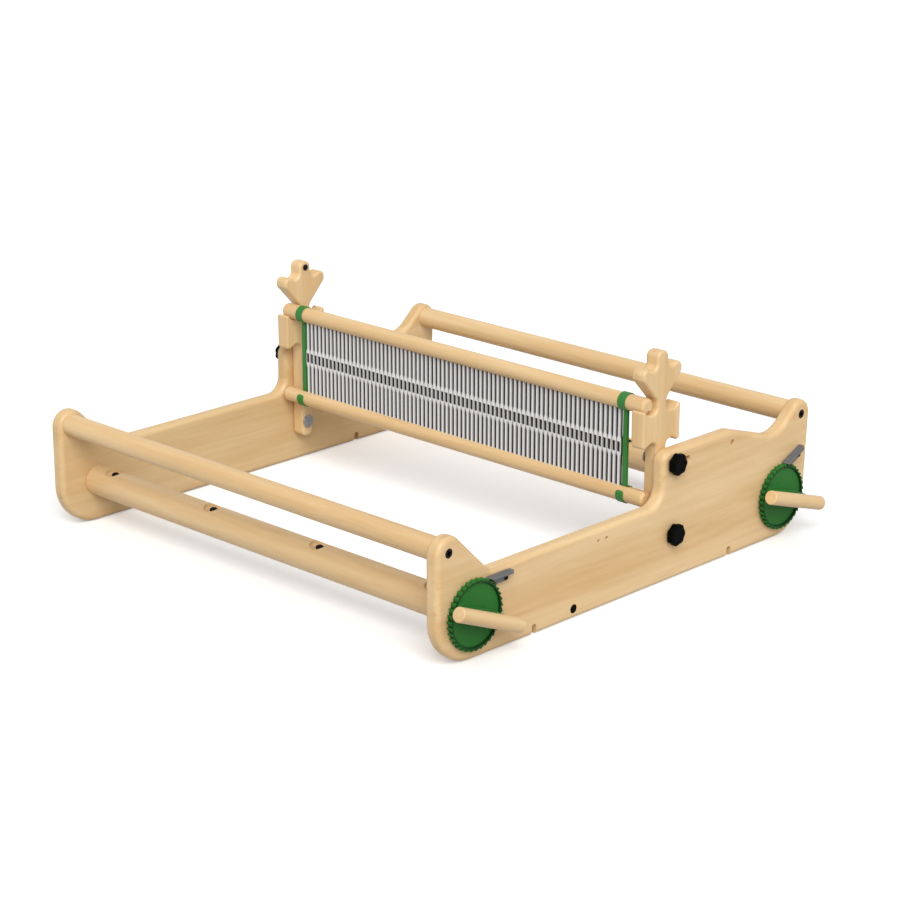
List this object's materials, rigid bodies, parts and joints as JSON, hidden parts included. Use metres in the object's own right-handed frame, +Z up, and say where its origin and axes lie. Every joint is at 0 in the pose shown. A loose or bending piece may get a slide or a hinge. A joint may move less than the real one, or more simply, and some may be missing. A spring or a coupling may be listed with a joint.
{
  "type": "rigid heddle loom",
  "caption": "Table loom with wooden side panels, round beams, cloth and warp rollers with ratchets and cross handles, and a plastic reed in tilting notched holders.",
  "frame": {"origin": "on the table plane, midway between the two side panels and midway along them", "axes": "+X across the loom towards the handles, +Y from the weaver to the back, +Z up"},
  "size_m": [0.6589, 0.6054, 0.2548],
  "materials": {
    "panel_wood": "satin lacquered pale hardwood board",
    "turned_wood": "satin lacquered pale turned hardwood",
    "green_plastic": "moulded green",
    "grey_plastic": "moulded grey",
    "black_plastic": "moulded black",
    "black_steel": "blackened steel",
    "bright_steel": "zinc plated",
    "reed_plastic": "moulded pale grey"
  },
  "bodies": {
    "frame": {"left_side_panel": "panel_wood", "right_side_panel": "panel_wood", "front_beam": "turned_wood", "back_beam": "turned_wood", "front_beam_screws": "black_steel", "back_beam_screws": "black_steel", "panel_plugs": "black_plastic", "cloth_pawl_screw": "black_steel", "warp_pawl_screw": "black_steel"},
    "cloth_roller": {"cloth_roller": "turned_wood", "cloth_roller_cord_screws": "black_steel", "cloth_roller_pivot_screw": "black_steel", "cloth_ratchet_wheel": "green_plastic", "cloth_handle": "turned_wood", "cloth_handle_screws": "black_steel"},
    "warp_roller": {"warp_roller": "turned_wood", "warp_roller_cord_screws": "black_steel", "warp_roller_pivot_screw": "black_steel", "warp_ratchet_wheel": "green_plastic", "warp_handle": "turned_wood", "warp_handle_screws": "black_steel"},
    "cloth_pawl": {"cloth_pawl": "grey_plastic"},
    "warp_pawl": {"warp_pawl": "grey_plastic"},
    "right_holder": {"right_heddle_holder": "panel_wood", "right_post_screw": "black_steel", "right_pivot_bolt": "bright_steel"},
    "left_holder": {"left_heddle_holder": "panel_wood", "left_post_screw": "black_steel", "left_pivot_bolt": "bright_steel"},
    "right_slot_bolt": {"right_slot_bolt": "bright_steel"},
    "left_slot_bolt": {"left_slot_bolt": "bright_steel"},
    "right_pivot_knob": {"right_pivot_knob": "black_plastic"},
    "left_pivot_knob": {"left_pivot_knob": "black_plastic"},
    "right_slot_knob": {"right_slot_knob": "black_plastic"},
    "left_slot_knob": {"left_slot_knob": "black_plastic"},
    "heddle": {"heddle_top_rod": "turned_wood", "heddle_bottom_rod": "turned_wood", "reed": "reed_plastic", "left_end_clip": "green_plastic", "right_end_clip": "green_plastic"}
  },
  "joints": [
    {"name": "cloth_roller_turn", "type": "hinge", "parent": "frame", "child": "cloth_roller", "pos_m": [0, -0.25275, 0.05], "axis": [1, 0, 0], "continuous": true},
    {"name": "warp_roller_turn", "type": "hinge", "parent": "frame", "child": "warp_roller", "pos_m": [0, 0.24865, 0.05], "axis": [1, 0, 0], "continuous": true},
    {"name": "cloth_pawl_lift", "type": "hinge", "parent": "frame", "child": "cloth_pawl", "pos_m": [0.3125, -0.21025, 0.0788], "axis": [-1, 0, 0], "range_deg": [0, 40]},
    {"name": "warp_pawl_lift", "type": "hinge", "parent": "frame", "child": "warp_pawl", "pos_m": [0.3125, 0.27553, 0.09374], "axis": [-1, 0, 0], "range_deg": [0, 40]},
    {"name": "right_holder_tilt", "type": "hinge", "parent": "frame", "child": "right_holder", "pos_m": [0.2807, 0.06075, 0.0532], "axis": [-1, 0, 0], "range_deg": [0, 15.9]},
    {"name": "left_holder_tilt", "type": "hinge", "parent": "frame", "child": "left_holder", "pos_m": [-0.2807, 0.06075, 0.0532], "axis": [-1, 0, 0], "range_deg": [0, 15.9]},
    {"name": "right_slot_bolt_slide", "type": "slide", "parent": "frame", "child": "right_slot_bolt", "axis": [0, 1, 0], "range_m": [0, 0.02292]},
    {"name": "left_slot_bolt_slide", "type": "slide", "parent": "frame", "child": "left_slot_bolt", "axis": [0, 1, 0], "range_m": [0, 0.02292]},
    {"name": "right_pivot_knob_turn", "type": "hinge", "parent": "right_holder", "child": "right_pivot_knob", "pos_m": [0.313, 0.06075, 0.0532], "axis": [1, 0, 0], "range_deg": [0, 360]},
    {"name": "left_pivot_knob_turn", "type": "hinge", "parent": "left_holder", "child": "left_pivot_knob", "pos_m": [-0.313, 0.06075, 0.0532], "axis": [-1, 0, 0], "range_deg": [0, 360]},
    {"name": "right_slot_knob_turn", "type": "hinge", "parent": "right_slot_bolt", "child": "right_slot_knob", "pos_m": [0.313, 0.06075, 0.1335], "axis": [1, 0, 0], "range_deg": [0, 360]},
    {"name": "left_slot_knob_turn", "type": "hinge", "parent": "left_slot_bolt", "child": "left_slot_knob", "pos_m": [-0.313, 0.06075, 0.1335], "axis": [-1, 0, 0], "range_deg": [0, 360]},
    {"name": "heddle_lift", "type": "slide", "parent": "right_holder", "child": "heddle", "axis": [0, -0.6428, 0.766], "range_m": [0, 0.036]}
  ],
  "couplings": [
    {"joint": "left_holder_tilt", "follows": "right_holder_tilt", "ratio": 1},
    {"joint": "right_slot_bolt_slide", "follows": "right_holder_tilt", "m_per_rad": 0.08243},
    {"joint": "left_slot_bolt_slide", "follows": "right_holder_tilt", "m_per_rad": 0.08243}
  ]
}
